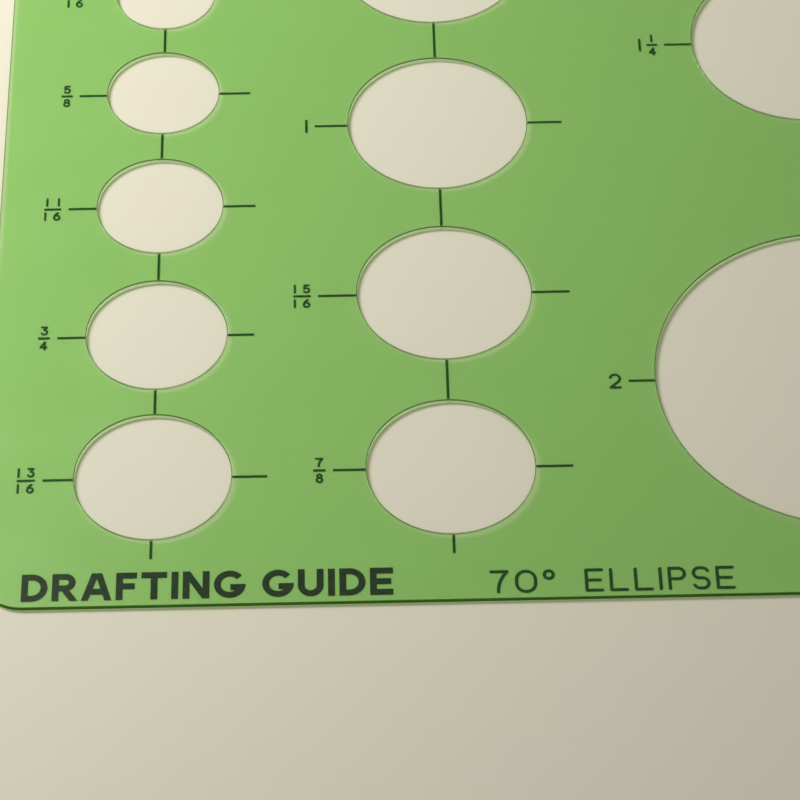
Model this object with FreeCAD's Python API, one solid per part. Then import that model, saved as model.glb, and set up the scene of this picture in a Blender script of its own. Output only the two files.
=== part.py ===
import FreeCAD, Part
import math
import os
from collections import namedtuple

# An ellipse template: one thin sheet of tinted plastic with elliptical holes cut through it. Its
# markings are stamped into the underside, flush with it, and read through the plastic from
# above. Lengths are millimetres. Places on the sheet are given from its lower left corner, X to
# the right and Y away from the reader.

# Sheet
inch = 25.4
sheet_width = 218.0
sheet_height = 167.0
sheet_thickness = 0.76
corner_radius = 6.0
edge_rounding = 0.08
rim_rounding = 0.18
projection_angle = 70.0
minor_over_major = math.sin(math.radians(projection_angle))

# Hole layout: every column stands on one line, and its holes are pitched in 32nds of an inch
bottom_line = 10.05
first_column = 22.25
second_column = 61.4
third_column = 114.7
fourth_column = 184.0
small_column = 147.0
small_column_line = 99.0
pitch_unit = inch / 32
size_unit = 16

# Markings. print_drop is how far the stamping sits below the holes it belongs to.
ink_thickness = 0.03
ink_bite = 0.001
print_drop = 0.13
mark_width = 0.35
rim_gap = 0.10
end_mark = 2.85
wide_mark = 4.0
small_mark = 2.0
size_gap = 1.0
figure_pen = 0.30
whole_pen = 0.35
title_pen = 0.42
bold_pen = 0.87
small_numeral = 1.2
whole_numeral = 2.1
numeral_pitch = 1.6
numeral_clearance = 0.645
two_digit_bar = 2.38
one_digit_bar = 1.6
whole_gap = 0.8
title_left = 65.8
title_base = 1.0
title_height = 3.45
title_gap = 0.75
word_gap = 3.8
legend_left = 5.8
legend_base = 1.15
legend_height = 4.05
legend_gap = 0.58
legend_word_gap = 2.2

# sixteenths: major axis; pitch: to the hole below, in 32nds; left, right: centre mark lengths
Hole = namedtuple("Hole", "sixteenths pitch left right")
Place = namedtuple("Place", "name sixteenths x y major minor left right above below")
Line = namedtuple("Line", "x0 y0 x1 y1")
Arc = namedtuple("Arc", "x y radius start end")

# Each column from its lowest hole upwards
first_holes = (
    Hole(13, 0, 4.15, 4.65),
    Hole(12, 29, 3.95, 3.65),
    Hole(11, 28, 4.10, 4.55),
    Hole(10, 26, 4.10, 4.50),
    Hole(9, 24, 4.00, 4.40),
    Hole(8, 22, 4.00, 4.20),
    Hole(7, 20, 3.90, 4.00),
    Hole(6, 18, 3.80, 4.00),
)
second_holes = (
    Hole(14, 0, 4.40, 5.00),
    Hole(15, 36, 5.35, 5.30),
    Hole(16, 38, 4.80, 5.00),
    Hole(17, 40, 4.80, 5.00),
    Hole(18, 41, 4.80, 5.00),
)
third_holes = (
    Hole(32, 0, 3.60, 4.00),
    Hole(20, 75, wide_mark, wide_mark),
    Hole(19, 62, wide_mark, wide_mark),
)
fourth_holes = (
    Hole(28, 0, wide_mark, wide_mark),
    Hole(24, 72, wide_mark, wide_mark),
    Hole(22, 66, wide_mark, wide_mark),
)
small_holes = (
    Hole(5, 0, small_mark, small_mark),
    Hole(4, 13, small_mark, small_mark),
    Hole(3, 12, small_mark, small_mark),
    Hole(2, 11, small_mark, small_mark),
)

# Letter shapes one unit high, drawn as the path of the pen. Arc angles are in degrees.
glyphs = {
    "1": (0.0, [Line(0, 0, 0, 1)]),
    "2": (0.62, [Arc(0.31, 0.69, 0.31, -48, 165), Line(0.517, 0.46, 0, 0), Line(0, 0, 0.62, 0)]),
    "3": (0.62, [Line(0.04, 1, 0.58, 1), Line(0.58, 1, 0.3, 0.62), Arc(0.31, 0.31, 0.31, -155, 90)]),
    "4": (0.66, [Line(0.46, 1, 0, 0.28), Line(0, 0.28, 0.66, 0.28), Line(0.46, 1, 0.46, 0)]),
    "5": (0.62, [Line(0.08, 1, 0.58, 1), Line(0.08, 1, 0.063, 0.51), Arc(0.3, 0.31, 0.31, -150, 140)]),
    "6": (0.62, [Arc(0.31, 0.31, 0.31, 0, 360), Arc(0.75, 0.31, 0.75, 113, 180)]),
    "7": (0.68, [Line(0, 1, 0.68, 1), Arc(1.73, 0, 1.45, 136.4, 180)]),
    "8": (0.60, [Arc(0.3, 0.29, 0.29, 0, 360), Arc(0.3, 0.78, 0.23, 0, 360)]),
    "9": (0.62, [Arc(0.31, 0.69, 0.31, 0, 360), Arc(-0.13, 0.69, 0.75, -67, 0)]),
    "0": (0.80, [Arc(0.4, 0.6, 0.4, 0, 180), Arc(0.4, 0.4, 0.4, 180, 360),
                 Line(0, 0.4, 0, 0.6), Line(0.8, 0.4, 0.8, 0.6)]),
    "°": (0.38, [Arc(0.19, 0.81, 0.19, 0, 360)]),
    "A": (0.92, [Line(0, -0.1, 0.4, 1.15), Line(0.92, -0.1, 0.52, 1.15), Line(0.3, 0.27, 0.62, 0.27)]),
    "D": (0.78, [Line(0, 0, 0, 1), Line(0, 1, 0.15, 1), Arc(0.28, 0.5, 0.5, -90, 90), Line(0, 0, 0.15, 0)]),
    "E": (0.66, [Line(0, 0, 0, 1), Line(0, 1, 0.66, 1), Line(0, 0.5, 0.58, 0.5), Line(0, 0, 0.66, 0)]),
    "F": (0.56, [Line(0, 0, 0, 1), Line(0, 1, 0.56, 1), Line(0, 0.5, 0.48, 0.5)]),
    "G": (0.98, [Arc(0.5, 0.5, 0.5, 40, 360), Line(0.66, 0.363, 0.84, 0.363)]),
    "I": (0.0, [Line(0, 0, 0, 1)]),
    "L": (0.66, [Line(0, 0, 0, 1), Line(0, 0, 0.66, 0)]),
    "N": (0.80, [Line(0, 0, 0, 1), Line(0.08, 1, 0.72, 0), Line(0.8, 0, 0.8, 1)]),
    "P": (0.64, [Line(0, 0, 0, 1), Line(0, 1, 0.38, 1), Arc(0.38, 0.74, 0.26, -90, 90),
                 Line(0, 0.48, 0.38, 0.48)]),
    "R": (0.74, [Line(0, 0, 0, 1), Line(0, 1, 0.27, 1), Arc(0.4, 0.73, 0.27, -90, 90),
                 Line(0, 0.46, 0.27, 0.46), Line(0.4, 0.36, 0.72, -0.1)]),
    "S": (0.62, [Arc(0.37, 0.75, 0.25, 25, 90), Line(0.37, 1, 0.25, 1), Arc(0.25, 0.75, 0.25, 90, 270),
                 Line(0.25, 0.5, 0.37, 0.5), Arc(0.37, 0.25, 0.25, -90, 90), Line(0.37, 0, 0.25, 0),
                 Arc(0.25, 0.25, 0.25, 205, 270)]),
    "T": (0.76, [Line(0.38, 0, 0.38, 1), Line(0, 1, 0.76, 1)]),
    "U": (0.76, [Line(0, 0.46, 0, 1), Arc(0.38, 0.38, 0.38, 180, 360), Line(0.76, 0.46, 0.76, 1)]),
}


def at(x, y, z=0.0):
    """A point on the sheet, in the part's frame, whose origin is under the sheet's middle."""
    return FreeCAD.Vector(x - sheet_width / 2, y - sheet_height / 2, z)


def ring(centre, radius, start, end):
    """The arc of a circle between two angles, as an edge."""
    circle = Part.Circle(centre, FreeCAD.Vector(0, 0, 1), radius)
    return Part.ArcOfCircle(circle, math.radians(start), math.radians(end)).toShape()


def raised(face):
    """A marking: its outline carried up through the thickness of the ink."""
    return face.extrude(FreeCAD.Vector(0, 0, ink_thickness))


def polygon(corners):
    return Part.Face(Part.makePolygon(corners + corners[:1]))


def bar(start, end, width, overrun=0.0):
    """A straight line with square ends."""
    along = (end - start).normalize()
    side = FreeCAD.Vector(-along.y, along.x, 0) * (width / 2)
    first = start - along * overrun
    last = end + along * overrun
    return raised(polygon([first + side, first - side, last - side, last + side]))


def rounded_bar(start, end, width):
    """A straight line with round ends."""
    along = (end - start).normalize()
    side = FreeCAD.Vector(-along.y, along.x, 0) * (width / 2)
    heading = math.degrees(math.atan2(along.y, along.x))
    edges = [
        Part.makeLine(start - side, end - side),
        ring(end, width / 2, heading - 90, heading + 90),
        Part.makeLine(end + side, start + side),
        ring(start, width / 2, heading + 90, heading + 270),
    ]
    return raised(Part.Face(Part.Wire(Part.__sortEdges__(edges))))


def curved_bar(centre, radius, start, end, width, rounded):
    """A line along an arc, or all the way round."""
    outer = radius + width / 2
    inner = radius - width / 2
    height = ink_thickness
    body = Part.makeCylinder(outer, height, centre).cut(Part.makeCylinder(inner, height, centre))
    if end - start >= 360:
        return body
    first = FreeCAD.Vector(math.cos(math.radians(start)), math.sin(math.radians(start)), 0)
    last = FreeCAD.Vector(math.cos(math.radians(end)), math.sin(math.radians(end)), 0)
    edges = [
        ring(centre, outer, start, end),
        Part.makeLine(centre + last * outer, centre + last * inner),
        ring(centre, inner, start, end),
        Part.makeLine(centre + first * inner, centre + first * outer),
    ]
    sector = raised(Part.Face(Part.Wire(Part.__sortEdges__(edges))))
    if not rounded:
        return sector
    ends = [Part.makeCylinder(width / 2, height, centre + tip * radius) for tip in (first, last)]
    return sector.fuse(ends)


def joined(shapes):
    """Strokes that cross become one solid of ink."""
    if len(shapes) == 1:
        return shapes[0]
    return shapes[0].fuse(shapes[1:]).removeSplitter()


def glyph(letter, x, y, height, pen, bold=False):
    """One letter. x and y are the pen's place at its lower left; height is the pen's travel."""
    strokes = []
    for stroke in glyphs[letter][1]:
        if isinstance(stroke, Line):
            start = at(x + stroke.x0 * height, y + stroke.y0 * height)
            end = at(x + stroke.x1 * height, y + stroke.y1 * height)
            strokes.append(bar(start, end, pen, pen / 2) if bold else rounded_bar(start, end, pen))
        else:
            centre = at(x + stroke.x * height, y + stroke.y * height)
            radius = stroke.radius * height
            strokes.append(curved_bar(centre, radius, stroke.start, stroke.end, pen, not bold))
    letter_shape = joined(strokes)
    if bold:
        corner = at(x - height, y - pen / 2)
        band = Part.makeBox(3 * height, height + pen, ink_thickness, corner)
        letter_shape = letter_shape.common(band)
    return letter_shape


def text(words, x, y, outer_height, pen, gap, space, bold=False):
    """A line of letters, evenly spaced between their inked edges."""
    height = outer_height - pen
    left = x + pen / 2
    letters = []
    for letter in words:
        if letter == " ":
            left += space - gap
            continue
        letters.append(glyph(letter, left, y + pen / 2, height, pen, bold))
        left += glyphs[letter][0] * height + pen + gap
    return letters


def numerals(number, middle, base):
    """The figures above or below a fraction bar, in evenly pitched cells centred on middle."""
    figures = []
    first = middle - (len(number) - 1) * numeral_pitch / 2
    inked = [glyphs[figure][0] * small_numeral for figure in number]
    if len(number) == 2:
        first += (inked[0] - inked[1]) / 4
    for index, figure in enumerate(number):
        left = first + index * numeral_pitch - inked[index] / 2
        figures.append(glyph(figure, left, base, small_numeral, figure_pen))
    return figures


def fraction(above, below, right, y):
    """A stacked fraction whose bar ends at right. Returns its shapes and its left end."""
    length = two_digit_bar if len(below) == 2 else one_digit_bar
    left = right - length
    middle = (left + right) / 2
    rule = bar(at(left, y), at(right, y), mark_width)
    top = numerals(above, middle, y + numeral_clearance)
    bottom = numerals(below, middle, y - numeral_clearance - small_numeral)
    return [rule] + top + bottom, left


def size_label(sixteenths, right, y):
    """The size of a hole in inches: a whole number, a fraction or both."""
    whole, rest = divmod(sixteenths, size_unit)
    shapes = []
    if rest:
        shared = math.gcd(rest, size_unit)
        shapes, left = fraction(str(rest // shared), str(size_unit // shared), right, y)
        right = left - whole_gap
    if whole:
        width = glyphs[str(whole)][0] * whole_numeral
        left = right - width - whole_pen / 2
        shapes.append(glyph(str(whole), left, y - whole_numeral / 2, whole_numeral, whole_pen))
    return shapes


def size_name(sixteenths):
    """The size as part of a node's name, such as 11_16 or 1_1_4."""
    whole, rest = divmod(sixteenths, size_unit)
    words = [str(whole)] if whole else []
    if rest:
        shared = math.gcd(rest, size_unit)
        words += [str(rest // shared), str(size_unit // shared)]
    return "_".join(words)


def column(x, line, holes, linked, end_length):
    """The places of one column's holes and how far their upright centre marks run."""
    places = []
    y = None
    for hole in holes:
        major = hole.sixteenths / size_unit * inch / 2
        minor = major * minor_over_major
        y = line + minor if y is None else y + hole.pitch * pitch_unit
        below = end_length
        if linked and places:
            below = (y - minor) - (places[-1].y + places[-1].minor)
        places.append(Place(size_name(hole.sixteenths), hole.sixteenths, x, y, major, minor,
                            hole.left, hole.right, 0.0 if linked else end_length, below))
    places[-1] = places[-1]._replace(above=end_length)
    return places


def all_places():
    return (
        column(first_column, bottom_line, first_holes, True, end_mark)
        + column(second_column, bottom_line, second_holes, True, end_mark)
        + column(third_column, bottom_line, third_holes, False, end_mark)
        + column(fourth_column, bottom_line, fourth_holes, False, end_mark)
        + column(small_column, small_column_line, small_holes, False, small_mark / 2)
    )


def sheet_outline():
    """The sheet with its round corners and no holes."""
    plate = Part.makeBox(sheet_width, sheet_height, sheet_thickness, at(0, 0))
    uprights = [edge for edge in plate.Edges if edge.BoundBox.ZLength > sheet_thickness / 2]
    return plate.makeFillet(corner_radius, uprights)


def hole_cutter(place):
    """An upright elliptical cutter through the sheet."""
    outline = Part.Ellipse(at(place.x, place.y, -sheet_thickness), place.major, place.minor)
    face = Part.Face(Part.Wire([outline.toShape()]))
    return face.extrude(FreeCAD.Vector(0, 0, 3 * sheet_thickness))


def is_upper_rim(edge):
    """Whether an edge is where a hole meets the upper face."""
    return edge.Closed and edge.BoundBox.ZMin > sheet_thickness / 2


def template_sheet(places):
    """The one piece of plastic. Its upper face rolls over into each hole, as it does where a
    punch goes in, and every other edge only has its sharpness taken off."""
    plate = sheet_outline().cut([hole_cutter(place) for place in places]).removeSplitter()
    level = [edge for edge in plate.Edges if edge.BoundBox.ZLength < sheet_thickness / 2]
    plate = plate.makeFillet(edge_rounding, [edge for edge in level if not is_upper_rim(edge)])
    return plate.makeFillet(rim_rounding, [edge for edge in plate.Edges if is_upper_rim(edge)])


def centre_marks(place):
    """The marked ends of a hole's two axes, clear of its rim."""
    y = place.y - print_drop
    left_rim = place.x - place.major - rim_gap
    right_rim = place.x + place.major + rim_gap
    low_rim = place.y - place.minor - rim_gap
    high_rim = place.y + place.minor + rim_gap
    marks = [
        bar(at(place.x - place.major - place.left, y), at(left_rim, y), mark_width),
        bar(at(right_rim, y), at(place.x + place.major + place.right, y), mark_width),
    ]
    foot = low_rim + rim_gap - place.below
    if place.below > end_mark:
        foot += rim_gap
    marks.append(bar(at(place.x, foot), at(place.x, low_rim), mark_width))
    if place.above:
        marks.append(bar(at(place.x, high_rim), at(place.x, high_rim + place.above), mark_width))
    return marks


def size_figures(place):
    right = place.x - place.major - place.left - size_gap
    return size_label(place.sixteenths, right, place.y - print_drop)


def save(node, shapes):
    shape = Part.makeCompound(shapes) if len(shapes) > 1 else shapes[0]
    for solid in shape.Solids:
        if not solid.isValid() or solid.Volume <= 0:
            print("bad solid in", node)
    print(node, len(shape.Solids), "solids", round(shape.Volume, 4), "mm3")
    shape.exportStep("parts/" + node + ".step")


def solids_of(shapes):
    return [solid for shape in shapes for solid in shape.Solids]


def stamped(sheet, markings):
    """The sheet with a shallow pocket under each marking. The ink keys into its pocket's roof."""
    pockets = []
    for marking in markings:
        pocket = marking.copy()
        pocket.translate(FreeCAD.Vector(0, 0, -ink_bite))
        pockets.append(pocket)
    return sheet.cut(pockets)


def main():
    os.makedirs("parts", exist_ok=True)
    places = all_places()
    ink = {}
    for place in places:
        ink["centre_marks_" + place.name] = solids_of(centre_marks(place))
        ink["size_figures_" + place.name] = solids_of(size_figures(place))
    title = text("70° ELLIPSE", title_left, title_base, title_height, title_pen, title_gap, word_gap)
    ink["title_lettering"] = solids_of(title)
    legend = text("DRAFTING GUIDE", legend_left, legend_base, legend_height, bold_pen, legend_gap,
                  legend_word_gap, True)
    ink["bold_legend"] = solids_of(legend)
    markings = [solid for shapes in ink.values() for solid in shapes]
    save("template_sheet", solids_of([stamped(template_sheet(places), markings)]))
    for node, shapes in ink.items():
        save(node, shapes)


main()
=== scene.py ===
"""Looks, light and camera for the 70 degree ellipse drawing template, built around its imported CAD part.

The sheet and every marking stay CAD nodes; here they get their materials. Lengths are in metres.
"""
import math

import bpy
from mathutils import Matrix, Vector


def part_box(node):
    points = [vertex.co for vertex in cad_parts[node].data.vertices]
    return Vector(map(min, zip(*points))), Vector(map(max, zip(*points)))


MM = 0.001

# Camera: the viewing angle and framing of the photograph.
CAMERA_PLACE = Vector((-59.4, -281.4, 331.0)) * MM
CAMERA_ELEVATION = 55.26        # degrees that it looks down
CAMERA_HEADING = 1.34           # degrees that it turns right of +Y
LENS = 135.6                    # millimetres, on the sensor below
SENSOR = 36.0

# Colours, linear.
PAPER = (0.80, 0.765, 0.62)             # the pale floor
THROUGH_SHEET = (0.58, 0.85, 0.46)      # what one pass through the sheet lets through
FROSTED_WALL = (0.96, 1.00, 0.84)       # the cut wall of an opening
LIP_PAINTED_SHADE = (0.17, 0.30, 0.07)                # the rounded lip of a cut, painted dark: painted shade for the dark line that refraction draws along a real rim
OUTER_EDGE_PAINTED_SHADE = (0.06, 0.17, 0.02)         # the sheared outer edge, painted dark green: painted shade where the real edge faces away from the light
WALL_SHADE = (0.25, 0.28, 0.12)         # lamp light that gets through a cut wall into the opening
RIM_GLOW = (0.99, 0.99, 0.95)           # light that gets through a cut wall and under the sheet
FIGURE_INK = (0.010, 0.055, 0.004)
BOLD_INK = (0.018, 0.028, 0.016)

# Plastic.
PLASTIC_IOR = 1.49
FACE_ROUGHNESS = (0.17, 0.22)   # from the smoothest to the dullest patches of the faces
CUT_ROUGHNESS = 0.2             # what a cut adds to that
FROST_FROM_AIR = 0.9            # how frosted a cut is when it is met from the air
FROST_FROM_PLASTIC = 0.25       # and from inside the plastic
WEAR = 0.03                     # how much a hairline dulls the face

# Ink.
INK_ROUGHNESS = 0.75

# Light: one soft lamp on the left, and an even world.
KEY_PLACE = (-0.34, 0.13, 0.38)
KEY_AIM = (-0.27, 0.10, 0.0)
KEY_SIZE = (0.12, 0.26)
KEY_WATTS = 1.14
KEY_COLOUR = (1.0, 0.985, 0.95)
KEY_SPREAD = 110                # degrees
SKY_COLOUR = (1.0, 0.985, 0.955)
SKY_STRENGTH = 0.26

CORNER_ZONE = 6.5 * MM          # no opening comes this close to the outline
FLOOR_GAP = 0.05 * MM           # air between the sheet and the floor


# ---------------------------------------------------------------- node helpers

class Nodes:
    """The node tree of a new material or world, with short ways to add to it."""

    def __init__(self, owner):
        owner.use_nodes = True
        self.tree = owner.node_tree
        self.tree.nodes.clear()

    def add(self, kind, **inputs):
        """A node, with input values or links given by the socket's name, spaces as underscores."""
        made = self.tree.nodes.new("ShaderNode" + kind)
        for name, value in inputs.items():
            self.set(made.inputs[name.replace("_", " ")], value)
        return made

    def set(self, socket, value):
        if isinstance(value, bpy.types.NodeSocket):
            self.tree.links.new(value, socket)
        elif socket.type == "RGBA":
            socket.default_value = (*value[:3], 1.0)
        else:
            socket.default_value = value

    def maths(self, operation, *values):
        made = self.tree.nodes.new("ShaderNodeMath")
        made.operation = operation
        for socket, value in zip(made.inputs, values):
            self.set(socket, value)
        return made.outputs[0]

    def mix_colour(self, factor, a, b):
        made = self.tree.nodes.new("ShaderNodeMix")
        made.data_type = "RGBA"
        self.set(made.inputs[0], factor)
        self.set(made.inputs[6], a)
        self.set(made.inputs[7], b)
        return made.outputs[2]

    def mix_shader(self, factor, a, b):
        made = self.tree.nodes.new("ShaderNodeMixShader")
        self.set(made.inputs[0], factor)
        self.set(made.inputs[1], a)
        self.set(made.inputs[2], b)
        return made.outputs[0]

    def ramp(self, value, low, high, to_low=0.0, to_high=1.0):
        """value mapped in a straight line from low..high to to_low..to_high, and held there."""
        made = self.tree.nodes.new("ShaderNodeMapRange")
        self.set(made.inputs["Value"], value)
        self.set(made.inputs["From Min"], low)
        self.set(made.inputs["From Max"], high)
        self.set(made.inputs["To Min"], to_low)
        self.set(made.inputs["To Max"], to_high)
        return made.outputs[0]

    def noise(self, place, size, detail=2.0, roughness=0.5):
        """Noise from 0 to 1 whose blobs are about that size in metres."""
        made = self.tree.nodes.new("ShaderNodeTexNoise")
        self.set(made.inputs["Vector"], place)
        self.set(made.inputs["Scale"], 1.0 / size)
        self.set(made.inputs["Detail"], detail)
        self.set(made.inputs["Roughness"], roughness)
        return made.outputs["Fac"]


def new_material(name):
    material = bpy.data.materials.new(name)
    return material, Nodes(material)


# ---------------------------------------------------------------- plastic sheet

def surface_masks(n, half_width, half_height):
    """Three masks from 0 to 1: a cut wall, the rounded lip between wall and face, and the outer
    edge of the sheet."""
    normal = n.add("SeparateXYZ", Vector=n.add("NewGeometry").outputs["Normal"])
    upright = n.maths("ABSOLUTE", normal.outputs["Z"])
    wall = n.ramp(upright, 0.30, 0.60, 1.0, 0.0)
    lip = n.maths("MULTIPLY", n.ramp(upright, 0.08, 0.25), n.ramp(upright, 0.90, 0.99, 1.0, 0.0))
    place = n.add("SeparateXYZ", Vector=n.add("TexCoord").outputs["Object"])
    out_x = n.maths("SUBTRACT", n.maths("ABSOLUTE", place.outputs["X"]), half_width - CORNER_ZONE)
    out_y = n.maths("SUBTRACT", n.maths("ABSOLUTE", place.outputs["Y"]), half_height - CORNER_ZONE)
    outer = n.maths("GREATER_THAN", n.maths("MAXIMUM", out_x, out_y), 0.0)
    return wall, lip, outer


def scratches(n, place, turn, length, gap):
    """Fine straight hairlines in one direction, 0 to 1."""
    mapped = n.add("Mapping", Vector=place)
    mapped.vector_type = "TEXTURE"
    mapped.inputs["Rotation"].default_value = (0.0, 0.0, math.radians(turn))
    mapped.inputs["Scale"].default_value = (length, gap, 1.0)
    lines = n.noise(mapped.outputs[0], 1.0, 1.0)
    return n.ramp(lines, 0.70, 0.78)


def plastic_material(half_width, half_height):
    material, n = new_material("tinted_plastic")
    place = n.add("TexCoord").outputs["Object"]
    wall, lip, outer = surface_masks(n, half_width, half_height)

    face_tint = n.mix_colour(n.noise(place, 30 * MM, 3.0), THROUGH_SHEET, [c * 0.97 for c in THROUGH_SHEET])
    # The lip and the outer edge get dark colours here, painted shade standing in for the dark lines that
    # real cut edges show
    wall_colour_with_painted_shade = n.mix_colour(lip, n.mix_colour(outer, FROSTED_WALL, OUTER_EDGE_PAINTED_SHADE), LIP_PAINTED_SHADE)
    edge = n.maths("MAXIMUM", wall, lip)
    tint = n.mix_colour(edge, face_tint, wall_colour_with_painted_shade)

    hairlines = n.maths("MAXIMUM", scratches(n, place, 24, 22 * MM, 0.16 * MM),
                        scratches(n, place, -57, 16 * MM, 0.13 * MM))
    rough_face = n.maths("ADD", n.ramp(n.noise(place, 9 * MM, 4.0), 0.3, 0.7, *FACE_ROUGHNESS),
                         n.maths("MULTIPLY", hairlines, WEAR))
    roughness = n.maths("ADD", rough_face, n.maths("MULTIPLY", edge, CUT_ROUGHNESS))

    waves = n.add("Bump", Height=n.noise(place, 14 * MM, 2.0), Strength=0.12, Distance=0.2 * MM)
    lines = n.add("Bump", Height=hairlines, Strength=0.02, Distance=0.002 * MM, Normal=waves.outputs[0])

    glass = n.add("BsdfPrincipled", Base_Color=tint, Roughness=roughness, IOR=PLASTIC_IOR,
                  Transmission_Weight=1.0, Normal=lines.outputs[0])
    inside = n.add("NewGeometry").outputs["Backfacing"]
    glow = n.add("BsdfTranslucent", Color=wall_colour_with_painted_shade)
    frost = n.add("BsdfDiffuse", Color=wall_colour_with_painted_shade)
    frosted = n.mix_shader(n.ramp(inside, 0.0, 1.0, 0.5, 0.0), glow.outputs[0], frost.outputs[0])
    dullness = n.maths("MULTIPLY", edge, n.ramp(inside, 0.0, 1.0, FROST_FROM_AIR, FROST_FROM_PLASTIC))
    body = n.mix_shader(dullness, glass.outputs[0], frosted)

    # Light that only passes through on its way to the paper goes straight, and is tinted as it
    # leaves by a face. Near a rim it leaves through the cut wall, and the paper there is paler.
    face_pass = n.mix_colour(inside, (1.0, 1.0, 1.0), THROUGH_SHEET)
    lamp_pass = n.mix_colour(edge, face_pass, n.mix_colour(inside, WALL_SHADE, RIM_GLOW))
    soft_pass = n.mix_colour(edge, face_pass, RIM_GLOW)
    lamp_light = n.add("BsdfTransparent", Color=lamp_pass).outputs[0]
    soft_light = n.add("BsdfTransparent", Color=soft_pass).outputs[0]
    path = n.add("LightPath")
    shaded = n.mix_shader(path.outputs["Is Shadow Ray"], body, lamp_light)
    surface = n.mix_shader(path.outputs["Is Diffuse Ray"], shaded, soft_light)
    n.add("OutputMaterial", Surface=surface)
    return material


# ---------------------------------------------------------------- ink

def ink_material(name, colour):
    material, n = new_material(name)
    place = n.add("TexCoord").outputs["Object"]
    thin = n.ramp(n.noise(place, 0.9 * MM, 4.0, 0.6), 0.35, 0.75)
    faded = [c * 1.7 + 0.004 for c in colour]
    tone = n.mix_colour(thin, colour, faded)
    grain = n.noise(place, 0.12 * MM, 3.0)
    bump = n.add("Bump", Height=grain, Strength=0.35, Distance=0.01 * MM)
    dull = n.ramp(grain, 0.3, 0.7, INK_ROUGHNESS - 0.08, INK_ROUGHNESS + 0.1)
    shader = n.add("BsdfPrincipled", Base_Color=tone, Roughness=dull, IOR=1.5, Normal=bump.outputs[0])
    shader.inputs["Specular IOR Level"].default_value = 0.2
    n.add("OutputMaterial", Surface=shader.outputs[0])
    return material


# ---------------------------------------------------------------- stage

def floor_material():
    material, n = new_material("pale_floor")
    place = n.add("TexCoord").outputs["Object"]
    mottle = n.noise(place, 6 * MM, 4.0)
    tone = n.mix_colour(mottle, PAPER, [c * 0.975 for c in PAPER])
    bump = n.add("Bump", Height=n.noise(place, 0.5 * MM, 3.0), Strength=0.1, Distance=0.02 * MM)
    shader = n.add("BsdfPrincipled", Base_Color=tone, Roughness=0.75, Normal=bump.outputs[0])
    shader.inputs["Specular IOR Level"].default_value = 0.25
    n.add("OutputMaterial", Surface=shader.outputs[0])
    return material


def make_floor(under, radius=6.0, sides=96):
    """A wide round floor just under the sheet."""
    ring = [(radius * math.cos(2 * math.pi * i / sides), radius * math.sin(2 * math.pi * i / sides), 0.0)
            for i in range(sides)]
    mesh = bpy.data.meshes.new("floor")
    mesh.from_pydata(ring, [], [range(sides)])
    floor = bpy.data.objects.new("floor", mesh)
    floor.location.z = under - FLOOR_GAP
    floor.data.materials.append(floor_material())
    bpy.context.scene.collection.objects.link(floor)


def make_world():
    world = bpy.data.worlds.new("studio")
    bpy.context.scene.world = world
    n = Nodes(world)
    sky = n.add("Background", Color=SKY_COLOUR, Strength=SKY_STRENGTH)
    n.add("OutputWorld", Surface=sky.outputs[0])


def make_key_lamp():
    lamp = bpy.data.lights.new("key", "AREA")
    lamp.shape = "RECTANGLE"
    lamp.size, lamp.size_y = KEY_SIZE
    lamp.energy = KEY_WATTS
    lamp.color = KEY_COLOUR
    lamp.spread = math.radians(KEY_SPREAD)
    holder = bpy.data.objects.new("key", lamp)
    holder.location = KEY_PLACE
    holder.rotation_euler = (Vector(KEY_AIM) - Vector(KEY_PLACE)).to_track_quat("-Z", "Y").to_euler()
    bpy.context.scene.collection.objects.link(holder)


def make_camera():
    camera = bpy.data.cameras.new("camera")
    camera.lens = LENS
    camera.sensor_width = SENSOR
    camera.clip_start = 0.01
    camera.clip_end = 50.0
    holder = bpy.data.objects.new("camera", camera)
    holder.location = CAMERA_PLACE
    holder.rotation_euler = (math.radians(90.0 - CAMERA_ELEVATION), 0.0, -math.radians(CAMERA_HEADING))
    bpy.context.scene.collection.objects.link(holder)
    bpy.context.scene.camera = holder


# ---------------------------------------------------------------- the scene

def dress(node, material):
    """Gives a CAD node's object its material."""
    node.data.materials.clear()
    node.data.materials.append(material)


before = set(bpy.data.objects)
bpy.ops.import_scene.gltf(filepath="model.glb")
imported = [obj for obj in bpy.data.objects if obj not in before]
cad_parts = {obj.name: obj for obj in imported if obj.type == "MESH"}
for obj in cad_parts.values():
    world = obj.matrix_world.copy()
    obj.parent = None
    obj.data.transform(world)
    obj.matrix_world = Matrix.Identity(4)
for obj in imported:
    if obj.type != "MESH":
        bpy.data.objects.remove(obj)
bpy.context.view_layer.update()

sheet_low, sheet_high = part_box("template_sheet")
plastic = plastic_material(sheet_high.x, sheet_high.y)
figure_ink = ink_material("printing_ink", FIGURE_INK)
bold_ink = ink_material("printing_ink_bold", BOLD_INK)
for name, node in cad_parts.items():
    if name == "template_sheet":
        dress(node, plastic)
    elif name == "bold_legend":
        dress(node, bold_ink)
    else:
        dress(node, figure_ink)

make_floor(sheet_low.z)
make_world()
make_key_lamp()
make_camera()
bpy.context.scene.view_settings.view_transform = "Standard"
